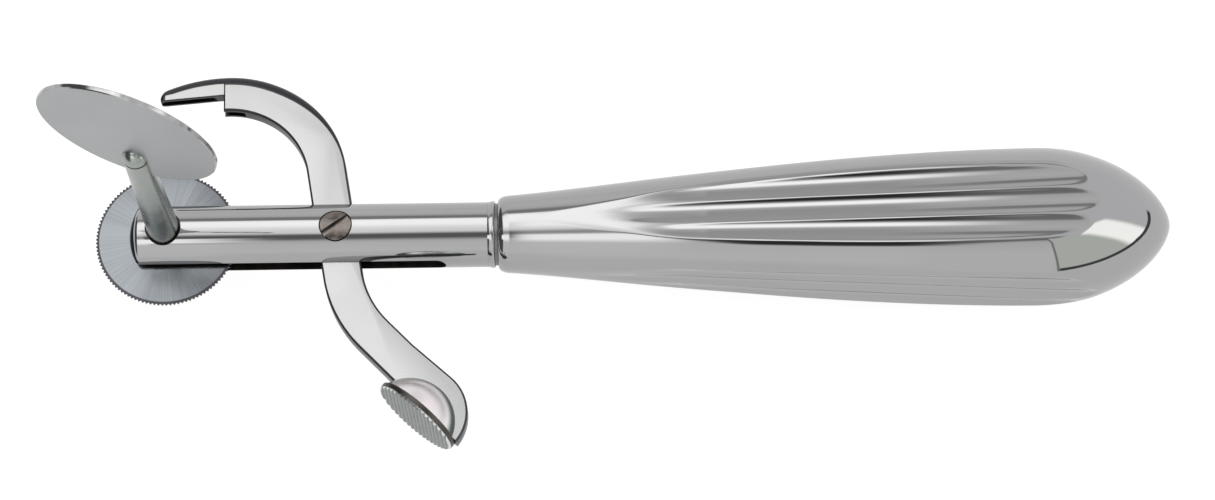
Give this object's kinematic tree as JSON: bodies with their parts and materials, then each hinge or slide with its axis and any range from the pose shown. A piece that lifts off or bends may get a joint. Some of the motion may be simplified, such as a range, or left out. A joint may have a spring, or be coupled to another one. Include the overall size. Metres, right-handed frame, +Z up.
{
  "type": "ring cutter",
  "caption": "Hand tool that saws through a finger ring: fluted handle, slotted shaft, round blade turned by a thumb disc, and a guard lever with a serrated thumb pad.",
  "frame": {"origin": "centre of the saw blade, on the shaft's axis", "axes": "+X along the shaft's axis back towards the handle's end, +Z up along the key stem to the thumb disc, +Y towards the guard tongue's side"},
  "size_m": [0.1523, 0.0559, 0.0588],
  "materials": {
    "handle_chrome": "polished",
    "shaft_chrome": "polished",
    "blade_steel": "radial satin",
    "stem_chrome": "polished",
    "disc_steel": "satin",
    "lever_steel": "satin faces, polished edges",
    "pad_steel": "serrated, matte",
    "screw_steel": "satin",
    "inner_steel": "turned"
  },
  "bodies": {
    "frame": {"handle_shell_upper": "handle_chrome", "handle_shell_lower": "handle_chrome", "handle_plug": "inner_steel", "shaft_collar": "shaft_chrome", "shaft": "shaft_chrome", "pivot_screw": "screw_steel"},
    "cutter": {"key_stem": "stem_chrome", "stem_keeper": "inner_steel", "thumb_disc": "disc_steel", "saw_blade": "blade_steel", "spacer_upper": "inner_steel", "spacer_lower": "inner_steel"},
    "lever": {"guard_lever": "lever_steel", "thumb_pad": "pad_steel"}
  },
  "joints": [
    {"name": "blade_spin", "type": "hinge", "parent": "frame", "child": "cutter", "pos_m": [0, 0, 0], "axis": [0, 0, 1], "continuous": true},
    {"name": "lever_swing", "type": "hinge", "parent": "frame", "child": "lever", "pos_m": [0.024, 0, 0], "axis": [0, 0, 1], "range_deg": [-15, 29]}
  ]
}
